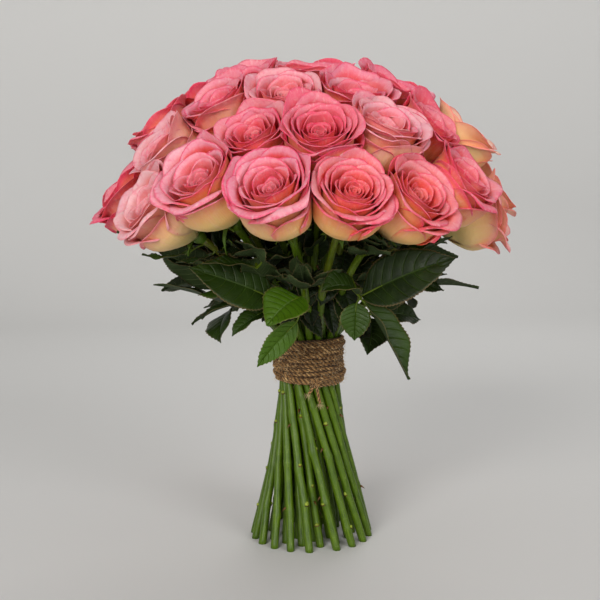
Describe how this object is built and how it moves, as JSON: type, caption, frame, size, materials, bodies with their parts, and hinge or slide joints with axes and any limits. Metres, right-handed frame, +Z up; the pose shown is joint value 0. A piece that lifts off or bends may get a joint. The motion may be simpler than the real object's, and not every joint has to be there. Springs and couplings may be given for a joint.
{
  "type": "bunch of roses",
  "caption": "Hand-tied bunch of cut pink roses with leaves, spiralled stems bound with jute twine, standing on its level-cut stem ends.",
  "frame": {"origin": "under the middle of the bunch, on the plane of the cut stem ends", "axes": "+Z up along the bunch from the cut ends to the blooms, front of the bunch towards -Y"},
  "size_m": [0.349, 0.3524, 0.4131],
  "materials": {
    "rose": "fresh petals, soft satin",
    "petal": "fresh petal, soft satin with pale rims",
    "stem": "fresh green bark, satin",
    "foliage": "waxy dark green leaf",
    "jute": "rough twisted jute"
  },
  "bodies": {
    "root": {"rose_01": "rose", "rose_02": "rose", "rose_03": "rose", "rose_04": "rose", "rose_05": "rose", "rose_06": "rose", "rose_07": "rose", "rose_08": "rose", "rose_09": "rose", "rose_10": "rose", "rose_11": "rose", "rose_12": "rose", "rose_13": "rose", "rose_14": "rose", "rose_15": "rose", "rose_16": "rose", "rose_17": "rose", "rose_18": "rose", "rose_19": "rose", "rose_20": "rose", "rose_21": "rose", "rose_22": "rose", "rose_23": "rose", "rose_24": "rose", "rose_25": "rose", "rose_26": "rose", "rose_27": "rose", "rose_28": "rose", "rose_29": "rose", "rose_30": "rose", "rose_31": "rose", "rose_32": "rose", "rose_33": "rose", "rose_34": "rose", "rose_35": "rose", "rose_36": "rose", "rose_37": "rose", "rose_38": "rose", "rose_39": "rose", "rose_40": "rose", "rose_41": "rose", "rose_42": "rose", "leaf_01": "foliage", "leaf_02": "foliage", "leaf_03": "foliage", "leaf_04": "foliage", "leaf_05": "foliage", "leaf_06": "foliage", "leaf_07": "foliage", "leaf_08": "foliage", "leaf_09": "foliage", "leaf_10": "foliage", "leaf_11": "foliage", "leaf_12": "foliage", "leaf_13": "foliage", "leaf_14": "foliage", "leaf_15": "foliage", "twine_wrap": "jute", "twine_knot": "jute"}
  },
  "joints": []
}
